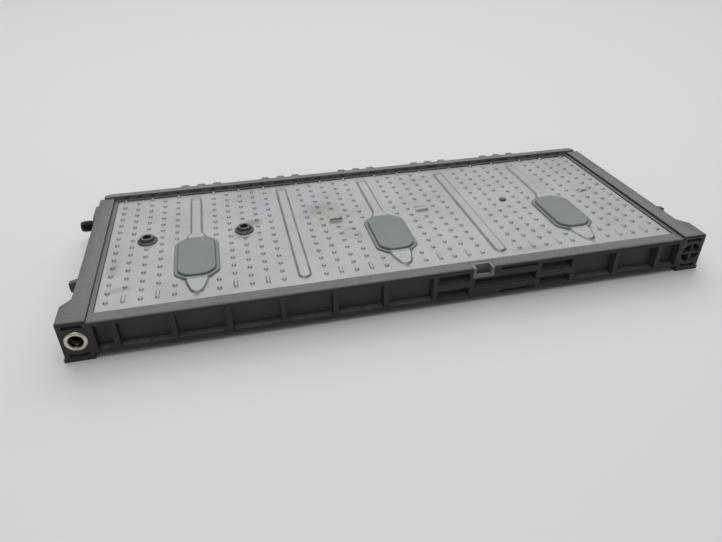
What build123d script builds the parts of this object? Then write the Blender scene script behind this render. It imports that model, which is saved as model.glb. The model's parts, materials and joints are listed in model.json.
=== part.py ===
from build123d import *
import os

# Six-cell battery module lying on one side plate.
# X runs along the module, Y from the mounting face to the lid, Z through the thickness.
# The origin is the centre of the module's footprint, on the surface that it lies on.

# Through the thickness
module_thickness = 19.6     # over the lid and the spacer bosses
rail_thickness = 18.0       # over the end rails and the mounting ears
band_span = 15.6            # over the low band in front of and behind the plates
plate_span = 15.0           # over the flat of the two side plates
plate_thickness = 0.8
skin_thickness = 1.0        # resin wall under each side plate

# In plan
plate_margin = 17.5         # from an outer cell's middle to the plate's end
plate_depth = 100.0
plate_corner = 1.5
plate_fit = 0.15            # gap between a plate's edge and its pocket
rail_width = 7.1
rail_step = 2.0             # low step between a rail and the plate
front_band = 6.8
back_ledge = 2.0
lid_depth = 4.0
lid_inset = 2.1             # from the case's end to the lid's
lid_corner = 3.0
lug_depth = 2.0
edge_round = 1.2            # front edges of the low band
ear_round = 0.8

# Cells
cell_count = 6
cell_pitch = 45.2
partition_wall = 1.6
cavity_floor = 1.0          # from the plate's front edge to the cells
stack_end_gap = 6.0         # gas space between a stack and the lid
stack_fit = 0.3
collector_thickness = 0.6
collector_inset = 0.5

# Mounting ears
ear_reach = 3.9
ear_straight = 12.0
ear_flare = 4.8
ear_foot_height = 1.6
ear_foot_reach = 0.7
ear_foot_depth = 6.0
insert_offset = 7.2         # from the plate's end to the insert's axis
insert_radius = 4.6
insert_length = 7.0
insert_proud = 0.5
thread_radius = 2.5
thread_length = 6.0
insert_chamfer = 0.6
boss_radius = 6.4
ear_slot_width = 7.6
ear_slot_height = 1.6
ear_slot_depth = 4.0
ear_slot_rise = 6.7         # from the axis to a slot's middle
blind_radius = 4.9
blind_depth = 6.0
blind_rib = 1.1

# Front face
pocket_rib = 2.3
pocket_count = 11           # equal pockets between the first and the last rib
pocket_start = 7.5          # from the plate's end to the first rib
pocket_finish = 10.4        # from the last rib to the plate's other end
pocket_height = 12.0
pocket_depth = 4.2
cross_rib = 3.2
bay_offset = 3.9            # from the fourth cell's middle to the sensor bay
bay_length = 32.0
bay_slot_height = 4.4
bay_slot_depth = 5.0
bay_slit_length = 17.5
bay_slit_height = 1.3
bay_slit_depth = 3.0
notch_length = 10.5
notch_depth = 5.3
notch_drop = 5.0
clip_fit = 0.2
clip_wall = 1.6
clip_drop = 3.6

# Side plates: dimples, ridges and embossed marks
dimple_radius = 1.05
dimple_height = 0.95
dimple_sides = 4
column_pitch = 6.75
row_count = 15
row_start = 5.8             # from the plate's front edge to the first row
row_margin = 1.5            # from the last row to the back edge
long_dimple = 5.5
ridge_width = 5.6
ridge_height = 1.0
ridge_slope = 35.0
ridge_start = 4.5
ridge_margin = 3.0          # from a ridge's end to the plate's back edge
neck_flare = 9.0
neck_flare_length = 5.0
tongue_start = 4.3
tongue_tip = 4.0
tongue_root = 9.5
ramp_width = 6.5
ramp_length = 4.6
tall_ramp = 2.1
low_ramp = 1.1
ramp_start = 52.0
eyelet_radius = 1.75
eyelet_height = 0.8
eyelet_hole = 0.8

# Pads and spacer bosses on the plates
pad_width = 20.0
pad_length = 36.0
pad_start = 15.0
pad_corner = 5.0
pad_rim = 2.3
pad_rim_height = 0.7
pad_height = 1.6
pad_bevel = 0.4
pad_clearance = 1.5         # plain strip between a pad and the dimples
spacer_y = 53.5             # from the plate's front edge
spacer_base_radius = 4.65
spacer_top_radius = 3.0
spacer_hole = 1.75
spacer_hole_depth = 1.7
spacer_foot = 0.5
button_radius = 1.8
button_height = 0.9

# Lid
weld_gap = 0.3
weld_inset = 0.8
plug_depth = 2.0
plug_fit = 0.1
lid_notch_width = 2.0
lid_notch_height = 1.2
lid_notch_depth = 1.2
wide_notch = 5.6
lug_root = 5.4
lug_tip = 3.0
lug_pitch = 8.5
lug_group_pitch = 43.7
vent_boss_radius = 6.5
vent_seat_radius = 4.2
vent_seat_depth = 3.0
vent_hole = 1.6
vent_cap_thickness = 1.1
vent_cap_hole = 0.9
vent_valve_radius = 2.8

# Terminals
terminal_back = 11.0        # from the lid's joint to the terminal's axis
terminal_boss_length = 18.0
terminal_boss_height = 15.6
terminal_boss_corner = 4.0
terminal_boss_reach = 1.8
terminal_reach = 10.0       # from the rail to the stud's tip
terminal_radius = 3.0       # of the free, threaded end
shank_radius = 3.3          # where the stud passes through the case and the collar
terminal_head_radius = 4.4
terminal_head = 1.2
collar_radius = 6.0
collar_reach = 3.0
collar_seat = 2.6           # depth of the collar's seat in the boss
gasket_thickness = 1.2
terminal_fit = 0.05
stud_tip_chamfer = 0.6
relief_radius = 2.5         # undercut where the thread ends at the collar
relief_length = 0.4
link_radius = 2.2

# End hooks
hook_front = 29.8           # from the mounting face
hook_thickness = 2.5
hook_reach = 3.5
hook_height = 9.5
hook_root = 1.0             # depth of its root in the rail
hook_slope = 1.0            # fall of its top edge

# Places worked out from the sizes above
mid_z = module_thickness / 2
plate_length = (cell_count - 1) * cell_pitch + 2 * plate_margin
module_depth = front_band + plate_depth + back_ledge + lid_depth + lug_depth
front_y = (insert_proud - module_depth) / 2
plate_y = front_y + front_band
plate_back = plate_y + plate_depth
joint_y = plate_back + back_ledge
lid_back = joint_y + lid_depth
lug_back = lid_back + lug_depth
rail_inner = plate_length / 2 + rail_step
case_end = rail_inner + rail_width
ear_end = case_end + ear_reach
lid_length = 2 * (case_end - lid_inset)
cell_x = [cell_pitch * (i - (cell_count - 1) / 2) for i in range(cell_count)]
divider_x = [cell_pitch * (i - cell_count / 2) for i in range(1, cell_count)]
cavity_width = cell_pitch - partition_wall
cavity_height = plate_span - 2 * plate_thickness - 2 * skin_thickness
cavity_y = plate_y + cavity_floor
cavity_depth = joint_y - cavity_y
terminal_y = joint_y - terminal_back
boss_end = case_end + terminal_boss_reach
inner_wall = cell_x[-1] + cavity_width / 2
collar_inner = boss_end - collar_seat + gasket_thickness
collar_face = case_end + collar_reach
stud_tip = case_end + terminal_reach
pocket_pitch = (plate_length - pocket_start - pocket_finish) / pocket_count
row_pitch = (plate_depth - row_start - row_margin) / (row_count - 1)
ridge_end = plate_depth - ridge_margin
pad_end = pad_start + pad_length
neck_start = pad_end + neck_flare_length
pad_x = {"left": divider_x[0], "middle": divider_x[2], "right": divider_x[4]}
ear_x = plate_length / 2 + insert_offset
turn_axis = Axis((0, 0, mid_z), (0, 1, 0))
faces = (1, -1)             # upper and lower side of the module

os.makedirs("parts", exist_ok=True)


def face_z(span, face):
    """Height of an upper (1) or lower (-1) face that lies span apart from its twin."""
    return mid_z + face * span / 2


def save(piece, name):
    piece.label = name
    export_step(piece, f"parts/{name}.step")


def save_pair(piece, kind, place=""):
    """The same piece on both sides of the module, the lower one turned over about Y."""
    save(piece, f"{kind}_top{place}")
    save(piece.rotate(turn_axis, 180), f"{kind}_bottom{place}")


# ---------------------------------------------------------------- moulded case
first_rib = -plate_length / 2 + pocket_start
pocket_ribs = [first_rib + pocket_pitch * i for i in range(pocket_count + 1)]
bay_x = cell_x[3] + bay_offset
bay_end = bay_x + bay_length
left_ribs = [x for x in pocket_ribs if x < bay_x]
right_ribs = [x for x in pocket_ribs if x > bay_end]
left_edge = -plate_length / 2 - pocket_rib / 2
right_edge = plate_length / 2 + pocket_rib / 2
pocket_spans = list(zip([left_edge] + left_ribs[:-1], left_ribs))
pocket_spans += list(zip(right_ribs, right_ribs[1:] + [right_edge]))
crossed_spans = [(left_ribs[-1], bay_x), (bay_end, right_ribs[0])]

with BuildPart() as case_frame:
    # Outline with the two flared ears at the front
    with BuildSketch(Plane.XY.offset(face_z(rail_thickness, -1))):
        with BuildLine():
            Polyline(
                (0, front_y),
                (ear_end, front_y),
                (ear_end, front_y + ear_straight),
                (case_end, front_y + ear_straight + ear_flare),
                (case_end, joint_y),
                (0, joint_y),
            )
            mirror(about=Plane.YZ)
        make_face()
    extrude(amount=rail_thickness)
    ear_edges = case_frame.edges().filter_by(Axis.X).group_by(Axis.Y)[0]
    fillet(ear_edges, radius=ear_round)
    # Low bed between the rails, and the pocket that each side plate lies in
    for face in faces:
        with BuildSketch(Plane.XY.offset(face_z(rail_thickness, face))):
            with Locations((0, (front_y + joint_y) / 2)):
                Rectangle(2 * rail_inner, joint_y - front_y)
        extrude(amount=-face * (rail_thickness - band_span) / 2, mode=Mode.SUBTRACT)
        with BuildSketch(Plane.XY.offset(face_z(band_span, face))):
            with Locations((0, plate_y + plate_depth / 2)):
                Rectangle(plate_length + 2 * plate_fit, plate_depth + 2 * plate_fit)
        pocket = (band_span - plate_span) / 2 + plate_thickness
        extrude(amount=-face * pocket, mode=Mode.SUBTRACT)
    # Rounded front edges of the low band
    for face in faces:
        with BuildSketch(Plane.YZ.offset(-rail_inner)):
            with Locations((front_y + edge_round / 2, face_z(band_span - edge_round, face))):
                Rectangle(edge_round, edge_round)
            with Locations((front_y + edge_round, face_z(band_span - 2 * edge_round, face))):
                Circle(edge_round, mode=Mode.SUBTRACT)
        extrude(amount=2 * rail_inner, mode=Mode.SUBTRACT)
    # Raised bosses round the terminals, and the hooks near the ears
    for side in (1, -1):
        with BuildSketch(Plane.YZ.offset(side * case_end)):
            with Locations((terminal_y, mid_z)):
                RectangleRounded(terminal_boss_length, terminal_boss_height, terminal_boss_corner)
        extrude(amount=side * terminal_boss_reach)
        rail_top = face_z(rail_thickness, 1)
        with BuildSketch(Plane.XZ.offset(-(front_y + hook_front))):
            with BuildLine():
                Polyline(
                    (side * (case_end - hook_root), rail_top),
                    (side * (case_end + hook_reach), rail_top - hook_slope),
                    (side * (case_end + hook_reach), rail_top - hook_height / 2),
                    (side * (case_end - hook_root), rail_top - hook_height),
                    close=True,
                )
            make_face()
        extrude(amount=-hook_thickness)
        # Foot under each ear, level with the lid
        with BuildSketch(Plane.XY):
            foot_width = ear_end - rail_inner + ear_foot_reach
            with Locations((side * (rail_inner + foot_width / 2), front_y + ear_foot_depth / 2)):
                Rectangle(foot_width, ear_foot_depth)
        extrude(amount=ear_foot_height)
    # Six cells, open to the lid
    with BuildSketch(Plane.XZ.offset(-joint_y)):
        with Locations([(x, mid_z) for x in cell_x]):
            Rectangle(cavity_width, cavity_height)
    extrude(amount=cavity_depth, mode=Mode.SUBTRACT)
    # Holes for the links between cells
    with Locations([(x, terminal_y, mid_z) for x in divider_x]):
        Cylinder(
            link_radius + terminal_fit,
            2 * partition_wall,
            rotation=(0, 90, 0),
            mode=Mode.SUBTRACT,
        )
    # Seat and hole for each terminal
    for side in (1, -1):
        with BuildSketch(Plane.YZ.offset(side * boss_end)):
            with Locations((terminal_y, mid_z)):
                Circle(collar_radius + terminal_fit)
        extrude(amount=-side * collar_seat, mode=Mode.SUBTRACT)
        with BuildSketch(Plane.YZ.offset(side * boss_end)):
            with Locations((terminal_y, mid_z)):
                Circle(shank_radius + terminal_fit)
        extrude(amount=-side * (boss_end - inner_wall + partition_wall), mode=Mode.SUBTRACT)
    # Pockets in the mounting face, some with a cross rib
    with BuildSketch(Plane.XZ.offset(-front_y)):
        for start, end in pocket_spans:
            with Locations(((start + end) / 2, mid_z)):
                Rectangle(end - start - pocket_rib, pocket_height)
        half = (pocket_height - cross_rib) / 2
        for start, end in crossed_spans:
            for face in faces:
                with Locations(((start + end) / 2, mid_z + face * (cross_rib + half) / 2)):
                    Rectangle(end - start - pocket_rib, half)
    extrude(amount=-pocket_depth, mode=Mode.SUBTRACT)
    # Sensor bay: long slot, two slits and the notch for its clip
    with BuildSketch(Plane.XZ.offset(-front_y)):
        with Locations(((bay_x + bay_end) / 2, mid_z)):
            Rectangle(bay_length - pocket_rib, bay_slot_height)
    extrude(amount=-bay_slot_depth, mode=Mode.SUBTRACT)
    with BuildSketch(Plane.XZ.offset(-front_y)):
        slit_x = bay_end - pocket_rib / 2 - bay_slit_length / 2
        with Locations([(slit_x, mid_z + face * pocket_height / 2) for face in faces]):
            Rectangle(bay_slit_length, bay_slit_height)
    extrude(amount=-bay_slit_depth, mode=Mode.SUBTRACT)
    with BuildSketch(Plane.XY.offset(face_z(band_span, 1))):
        with Locations((bay_x + notch_length / 2, front_y + notch_depth / 2)):
            Rectangle(notch_length, notch_depth)
    extrude(amount=-notch_drop, mode=Mode.SUBTRACT)
    # Left ear: boss, slots and the hole of the threaded insert
    with BuildSketch(Plane.XZ.offset(-front_y)):
        for side in (1, -1):
            with Locations([(side * ear_x, mid_z + face * ear_slot_rise) for face in faces]):
                Rectangle(ear_slot_width, ear_slot_height)
        with Locations([(side * ear_x, mid_z) for side in (1, -1)]):
            Circle(boss_radius, mode=Mode.SUBTRACT)
    extrude(amount=-ear_slot_depth, mode=Mode.SUBTRACT)
    with BuildSketch(Plane.XZ.offset(-front_y)):
        with Locations((-ear_x, mid_z)):
            Circle(insert_radius)
    extrude(amount=-(insert_length - insert_proud), mode=Mode.SUBTRACT)
    # Right ear: blind recess with a cross of ribs
    with BuildSketch(Plane.XZ.offset(-front_y)):
        with Locations((ear_x, mid_z)):
            Circle(blind_radius)
            Rectangle(blind_rib, 2 * blind_radius, mode=Mode.SUBTRACT)
            Rectangle(2 * blind_radius, blind_rib, mode=Mode.SUBTRACT)
    extrude(amount=-blind_depth, mode=Mode.SUBTRACT)
case_frame.part.label = "case_frame"
export_step(case_frame.part, "parts/case_frame.step")

# ---------------------------------------------------------------- threaded insert
with BuildPart() as mount_insert:
    with BuildSketch(Plane.XZ.offset(-(front_y - insert_proud))):
        with Locations((-ear_x, mid_z)):
            Circle(insert_radius)
    extrude(amount=-insert_length)
    with BuildSketch(Plane.XZ.offset(-(front_y - insert_proud))):
        with Locations((-ear_x, mid_z)):
            Circle(thread_radius)
    extrude(amount=-thread_length, mode=Mode.SUBTRACT)
    mouth = mount_insert.edges().filter_by(GeomType.CIRCLE).group_by(Axis.Y)[0]
    chamfer(mouth, length=insert_chamfer)
mount_insert.part.label = "mount_insert"
export_step(mount_insert.part, "parts/mount_insert.step")

# ---------------------------------------------------------------- sensor clip
with BuildPart() as sensor_clip:
    clip_top = face_z(band_span, 1)
    clip_length = notch_length - 2 * clip_fit
    clip_depth = notch_depth - clip_fit
    with BuildSketch(Plane.XY.offset(clip_top - notch_drop)):
        with Locations((bay_x + notch_length / 2, front_y + clip_depth / 2)):
            Rectangle(clip_length, clip_depth)
            Rectangle(clip_length - 2 * clip_wall, clip_depth - 2 * clip_wall, mode=Mode.SUBTRACT)
    extrude(amount=notch_drop)
    with BuildSketch(Plane.XY.offset(clip_top)):
        with Locations((bay_x + notch_length / 2, front_y + clip_wall / 2)):
            Rectangle(clip_length - 2 * clip_wall, clip_wall)
    extrude(amount=-clip_drop, mode=Mode.SUBTRACT)
sensor_clip.part.label = "sensor_clip"
export_step(sensor_clip.part, "parts/sensor_clip.step")

# ---------------------------------------------------------------- side plates
spacer_x = [cell_x[0], cell_x[1]]
spacer_height = (module_thickness - plate_span) / 2
button_x = cell_x[4]
plate_face = face_z(plate_span, 1)


def near_pad(x, y):
    """True where a dimple would meet a pad."""
    reach = pad_width / 2 + pad_clearance + dimple_radius
    beside = any(abs(x - p) < reach for p in pad_x.values())
    return beside and pad_start - dimple_radius < y < pad_end


def near_mark(x, y):
    """True where a dimple would meet a centre mark of its cell."""
    centred = any(abs(x - c) < dimple_radius for c in cell_x)
    return centred and abs(y - spacer_y) < spacer_base_radius + dimple_radius


def dimple_places():
    """Five staggered columns to a cell, as distances from the plate's middle and front edge."""
    places = []
    for centre in cell_x:
        for column in range(-2, 3):
            x = centre + column * column_pitch
            odd = column % 2
            for k in range(odd, row_count - odd):
                y = row_start + row_pitch * (k + odd / 2)
                if not near_pad(x, y) and not near_mark(x, y):
                    places.append((x, plate_y + y))
    return places


# A dimple is where roofs turned about its axis meet, so all its sides are flat
with BuildPart(mode=Mode.PRIVATE) as dimple:
    for turn in range(dimple_sides // 2):
        with BuildSketch(Plane.XZ.rotated((0, 0, (turn + 0.5) * 360 / dimple_sides))):
            Polygon((-dimple_radius, 0), (dimple_radius, 0), (0, dimple_height), align=None)
        extrude(
            amount=2 * dimple_radius,
            both=True,
            mode=Mode.INTERSECT if turn else Mode.ADD,
        )

with BuildPart() as plate_top:
    with BuildSketch(Plane.XY.offset(plate_face - plate_thickness)):
        with Locations((0, plate_y + plate_depth / 2)):
            RectangleRounded(plate_length, plate_depth, plate_corner)
    extrude(amount=plate_thickness)
    # Ridges over the partitions: plain ones, and ones broken by a pad
    with BuildSketch(Plane.XY.offset(plate_face)):
        for x in (divider_x[1], divider_x[3]):
            with Locations((x, plate_y + (ridge_start + ridge_end) / 2)):
                SlotOverall(ridge_end - ridge_start, ridge_width, rotation=90)
        for x in pad_x.values():
            with Locations((x, plate_y + (neck_start + ridge_end) / 2)):
                Rectangle(ridge_width, ridge_end - neck_start)
    extrude(amount=ridge_height, taper=ridge_slope)
    with BuildSketch(Plane.XY.offset(plate_face)):
        for x in pad_x.values():
            with Locations((x, plate_y)):
                Polygon(
                    (-ridge_width / 2, neck_start),
                    (-neck_flare / 2, pad_end),
                    (neck_flare / 2, pad_end),
                    (ridge_width / 2, neck_start),
                    align=None,
                )
                Polygon(
                    (-tongue_root / 2, pad_start),
                    (-tongue_tip / 2, tongue_start),
                    (tongue_tip / 2, tongue_start),
                    (tongue_root / 2, pad_start),
                    align=None,
                )
    extrude(amount=ridge_height, taper=ridge_slope)
    # Long dimples at the front of the even columns
    with BuildSketch(Plane.XY.offset(plate_face)):
        long_y = plate_y + row_start + row_pitch / 4
        with Locations([(c + s * column_pitch, long_y) for c in cell_x for s in (1, -1)]):
            Polygon(
                (0, -long_dimple / 2),
                (dimple_radius, -long_dimple / 2 + dimple_radius),
                (dimple_radius, long_dimple / 2 - dimple_radius),
                (0, long_dimple / 2),
                (-dimple_radius, long_dimple / 2 - dimple_radius),
                (-dimple_radius, -long_dimple / 2 + dimple_radius),
            )
    extrude(amount=dimple_height, taper=ridge_slope)
    # Ramps that key into those of the next module
    for x, height in ((cell_x[2], tall_ramp), (cell_x[3], low_ramp)):
        with BuildSketch(Plane.YZ.offset(x - ramp_width / 2)):
            with BuildLine():
                Polyline(
                    (plate_y + ramp_start, plate_face),
                    (plate_y + ramp_start, plate_face + height),
                    (plate_y + ramp_start + ramp_length / 2, plate_face + height),
                    (plate_y + ramp_start + ramp_length, plate_face),
                    close=True,
                )
            make_face()
        extrude(amount=ramp_width)
    # Eyelet in the last cell
    with BuildSketch(Plane.XY.offset(plate_face)):
        with Locations((cell_x[5], plate_y + spacer_y)):
            Circle(eyelet_radius)
            Circle(eyelet_hole, mode=Mode.SUBTRACT)
    extrude(amount=eyelet_height)
    with Locations([(x, y, plate_face) for x, y in dimple_places()]):
        add(dimple.part)
save_pair(plate_top.part, "plate")

# ---------------------------------------------------------------- pads
for place, x in pad_x.items():
    with BuildPart() as pad:
        with BuildSketch(Plane.XY.offset(plate_face)) as pad_outline:
            with Locations((x, plate_y + pad_start + pad_length / 2)):
                Rectangle(pad_width, pad_length)
            chamfer(pad_outline.vertices(), length=pad_corner)
        extrude(amount=pad_rim_height)
        with BuildSketch(Plane.XY.offset(plate_face)) as plateau:
            with Locations((x, plate_y + pad_start + pad_length / 2)):
                Rectangle(pad_width - 2 * pad_rim, pad_length - 2 * pad_rim)
            chamfer(plateau.vertices(), length=pad_corner)
        extrude(amount=pad_height)
        chamfer(pad.faces().sort_by(Axis.Z)[-1].edges(), length=pad_bevel)
    save_pair(pad.part, "pad", f"_{place}")

# ---------------------------------------------------------------- spacer bosses and buttons
for number, x in enumerate(spacer_x, 1):
    with BuildPart() as spacer:
        seat = Plane((x, plate_y + spacer_y, plate_face), x_dir=(1, 0, 0), z_dir=(0, -1, 0))
        with BuildSketch(seat):
            with BuildLine():
                Polyline(
                    (0, 0),
                    (spacer_base_radius, 0),
                    (spacer_base_radius, spacer_foot),
                    (spacer_top_radius, spacer_height),
                    (spacer_hole, spacer_height),
                    (spacer_hole, spacer_height - spacer_hole_depth),
                    (0, spacer_height - spacer_hole_depth),
                    close=True,
                )
            make_face()
        revolve(axis=Axis(seat.origin, (0, 0, 1)))
    save_pair(spacer.part, "spacer", f"_{number}")

with BuildPart() as button:
    seat = Plane((button_x, plate_y + spacer_y, plate_face), x_dir=(1, 0, 0), z_dir=(0, -1, 0))
    with BuildSketch(seat):
        with BuildLine():
            Polyline(
                (0, 0),
                (button_radius, 0),
                (button_radius, button_height / 2),
                (button_radius - button_height / 2, button_height),
                (0, button_height),
                close=True,
            )
        make_face()
    revolve(axis=Axis(seat.origin, (0, 0, 1)))
save_pair(button.part, "button")

# ---------------------------------------------------------------- lid
vent_x = cell_x[5]
with BuildPart() as lid:
    with BuildSketch(Plane.XY) as lid_plan:
        with Locations((0, (joint_y + weld_gap + lid_back) / 2)):
            Rectangle(lid_length, lid_depth - weld_gap)
        fillet(lid_plan.vertices().group_by(Axis.Y)[-1], radius=lid_corner)
    extrude(amount=module_thickness)
    # Weld land that meets the case, and plugs that locate in the cells
    with BuildSketch(Plane.XZ.offset(-(joint_y + weld_gap))):
        with Locations((0, mid_z)):
            Rectangle(lid_length - 2 * weld_inset, band_span - 2 * weld_inset)
    extrude(amount=weld_gap)
    with BuildSketch(Plane.XZ.offset(-joint_y)):
        with Locations([(x, mid_z) for x in cell_x]):
            Rectangle(cavity_width - 2 * plug_fit, cavity_height - 2 * plug_fit)
    extrude(amount=plug_depth)
    # Lugs along the back, in groups of three
    with BuildSketch(Plane.XY):
        for group in range(-2, 3):
            for place in (-1, 0, 1):
                with BuildLine(Location((group * lug_group_pitch + place * lug_pitch, lid_back))):
                    Polyline(
                        (-lug_root / 2, 0),
                        (-lug_tip / 2, lug_depth),
                        (lug_tip / 2, lug_depth),
                        (lug_root / 2, 0),
                        close=True,
                    )
                make_face()
    extrude(amount=module_thickness)
    # Notches along the wall that rises behind each plate
    for face in faces:
        with BuildSketch(Plane.XZ.offset(-(joint_y + weld_gap))):
            notch_z = mid_z + face * (band_span + lid_notch_height) / 2
            for centre in cell_x:
                with Locations([(centre + k * column_pitch, notch_z) for k in range(-2, 3)]):
                    Rectangle(lid_notch_width, lid_notch_height)
            with Locations([(x, notch_z) for x in divider_x]):
                Rectangle(wide_notch, lid_notch_height)
        extrude(amount=-lid_notch_depth, mode=Mode.SUBTRACT)
    # Vent boss and its stepped hole
    with BuildSketch(Plane.XZ.offset(-lid_back)):
        with Locations((vent_x, mid_z)):
            Circle(vent_boss_radius)
    extrude(amount=-lug_depth)
    through = lug_back - joint_y + plug_depth
    for radius, depth in ((vent_seat_radius, vent_seat_depth), (vent_hole, through)):
        with BuildSketch(Plane.XZ.offset(-lug_back)):
            with Locations((vent_x, mid_z)):
                Circle(radius)
        extrude(amount=depth, mode=Mode.SUBTRACT)
lid.part.label = "lid"
export_step(lid.part, "parts/lid.step")

with BuildPart() as vent_valve:
    with BuildSketch(Plane.XZ.offset(-(lug_back - vent_seat_depth))):
        with Locations((vent_x, mid_z)):
            Circle(vent_valve_radius)
    extrude(amount=-(vent_seat_depth - vent_cap_thickness))
vent_valve.part.label = "vent_valve"
export_step(vent_valve.part, "parts/vent_valve.step")

with BuildPart() as vent_cap:
    with BuildSketch(Plane.XZ.offset(-(lug_back - vent_cap_thickness))):
        with Locations((vent_x, mid_z)):
            Circle(vent_seat_radius)
            Circle(vent_cap_hole, mode=Mode.SUBTRACT)
    extrude(amount=-vent_cap_thickness)
vent_cap.part.label = "vent_cap"
export_step(vent_cap.part, "parts/vent_cap.step")

# ---------------------------------------------------------------- terminals
for place, side in (("left", -1), ("right", 1)):
    with BuildPart() as stud:
        stud_plane = Plane((0, terminal_y, mid_z), x_dir=(1, 0, 0), z_dir=(0, -1, 0))
        with BuildSketch(stud_plane):
            with BuildLine():
                Polyline(
                    (side * (inner_wall - terminal_head), 0),
                    (side * (inner_wall - terminal_head), terminal_head_radius),
                    (side * inner_wall, terminal_head_radius),
                    (side * inner_wall, shank_radius),
                    (side * collar_face, shank_radius),
                    (side * collar_face, relief_radius),
                    (side * (collar_face + relief_length), relief_radius),
                    (side * (collar_face + relief_length), terminal_radius),
                    (side * (stud_tip - stud_tip_chamfer), terminal_radius),
                    (side * stud_tip, terminal_radius - stud_tip_chamfer),
                    (side * stud_tip, 0),
                    close=True,
                )
            make_face()
        revolve(axis=Axis(stud_plane.origin, (1, 0, 0)))
    stud.part.label = f"terminal_stud_{place}"
    export_step(stud.part, f"parts/terminal_stud_{place}.step")
    with BuildPart() as seal:
        with BuildSketch(Plane.YZ.offset(side * (boss_end - collar_seat))):
            with Locations((terminal_y, mid_z)):
                Circle(collar_radius)
                Circle(shank_radius + terminal_fit, mode=Mode.SUBTRACT)
        extrude(amount=side * gasket_thickness)
    seal.part.label = f"terminal_seal_{place}"
    export_step(seal.part, f"parts/terminal_seal_{place}.step")
    with BuildPart() as collar:
        with BuildSketch(Plane.YZ.offset(side * collar_inner)):
            with Locations((terminal_y, mid_z)):
                Circle(collar_radius)
                Circle(shank_radius + terminal_fit, mode=Mode.SUBTRACT)
        extrude(amount=side * (collar_face - collar_inner))
        rims = collar.edges().filter_by(GeomType.CIRCLE).group_by(Axis.X)
        outer = rims[-1] if side > 0 else rims[0]
        chamfer(outer, length=stud_tip_chamfer)
    collar.part.label = f"terminal_collar_{place}"
    export_step(collar.part, f"parts/terminal_collar_{place}.step")

# ---------------------------------------------------------------- inside the cells
stack_width = cavity_width - 2 * (terminal_head + collector_thickness)
stack_height = cavity_height - 2 * stack_fit
stack_depth = cavity_depth - plug_depth - stack_end_gap
for number, x in enumerate(cell_x, 1):
    with BuildPart() as stack:
        with BuildSketch(Plane.XY.offset(mid_z - stack_height / 2)):
            with Locations((x, cavity_y + stack_fit + stack_depth / 2)):
                Rectangle(stack_width, stack_depth)
        extrude(amount=stack_height)
    stack.part.label = f"electrode_stack_{number}"
    export_step(stack.part, f"parts/electrode_stack_{number}.step")
    # Neighbouring cells face opposite ways, so the links run straight through
    for sign, name in ((1, "positive"), (-1, "negative")):
        with BuildPart() as collector:
            edge_x = x + sign * (stack_width + collector_thickness) / 2
            with BuildSketch(Plane.XY.offset(mid_z - cavity_height / 2 + collector_inset)):
                with Locations((edge_x, cavity_y + (cavity_depth - plug_depth) / 2)):
                    Rectangle(collector_thickness, cavity_depth - plug_depth - 2 * stack_fit)
            extrude(amount=cavity_height - 2 * collector_inset)
        collector.part.label = f"{name}_collector_{number}"
        export_step(collector.part, f"parts/{name}_collector_{number}.step")

for number, x in enumerate(divider_x, 1):
    with BuildPart() as link:
        with BuildSketch(Plane.YZ.offset(x)):
            with Locations((terminal_y, mid_z)):
                Circle(link_radius)
        extrude(amount=partition_wall / 2 + terminal_head, both=True)
    link.part.label = f"cell_link_{number}"
    export_step(link.part, f"parts/cell_link_{number}.step")
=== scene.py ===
import json
import math
import bmesh
import bpy
import numpy as np
from mathutils import Matrix, Vector


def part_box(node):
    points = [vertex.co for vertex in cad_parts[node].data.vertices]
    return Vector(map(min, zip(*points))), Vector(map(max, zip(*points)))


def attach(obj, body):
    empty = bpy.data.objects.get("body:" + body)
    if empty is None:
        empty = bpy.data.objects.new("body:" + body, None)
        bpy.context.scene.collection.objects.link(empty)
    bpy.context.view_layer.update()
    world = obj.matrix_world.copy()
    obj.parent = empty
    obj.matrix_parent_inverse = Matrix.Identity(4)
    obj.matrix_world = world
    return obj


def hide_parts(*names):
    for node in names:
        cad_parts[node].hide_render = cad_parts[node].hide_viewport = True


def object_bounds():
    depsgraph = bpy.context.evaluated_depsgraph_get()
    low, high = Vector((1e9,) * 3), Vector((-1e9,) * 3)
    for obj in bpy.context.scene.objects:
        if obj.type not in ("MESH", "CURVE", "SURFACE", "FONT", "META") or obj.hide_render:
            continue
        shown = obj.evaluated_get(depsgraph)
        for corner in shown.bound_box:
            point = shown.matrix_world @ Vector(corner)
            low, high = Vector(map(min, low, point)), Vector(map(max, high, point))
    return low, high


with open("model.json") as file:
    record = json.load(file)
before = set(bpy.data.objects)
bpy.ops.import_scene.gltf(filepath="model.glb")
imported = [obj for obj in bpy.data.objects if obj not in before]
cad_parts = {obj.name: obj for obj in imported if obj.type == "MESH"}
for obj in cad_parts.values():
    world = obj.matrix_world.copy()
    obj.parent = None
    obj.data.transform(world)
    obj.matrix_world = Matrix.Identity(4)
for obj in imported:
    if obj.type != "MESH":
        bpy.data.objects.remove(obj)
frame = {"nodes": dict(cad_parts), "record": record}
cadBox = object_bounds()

mm = 0.001
nodes = frame["nodes"]
print("frame loaded:", len(nodes), "nodes")


# small helpers

def toLinear(hexColour):
    # sRGB to linear: c/12.92 below 0.04045, else ((c + 0.055)/1.055)^2.4
    parts = [int(hexColour[i:i + 2], 16) / 255 for i in (1, 3, 5)]
    flat = [c / 12.92 if c <= 0.04045 else ((c + 0.055) / 1.055) ** 2.4 for c in parts]
    return (*flat, 1.0)


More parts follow.
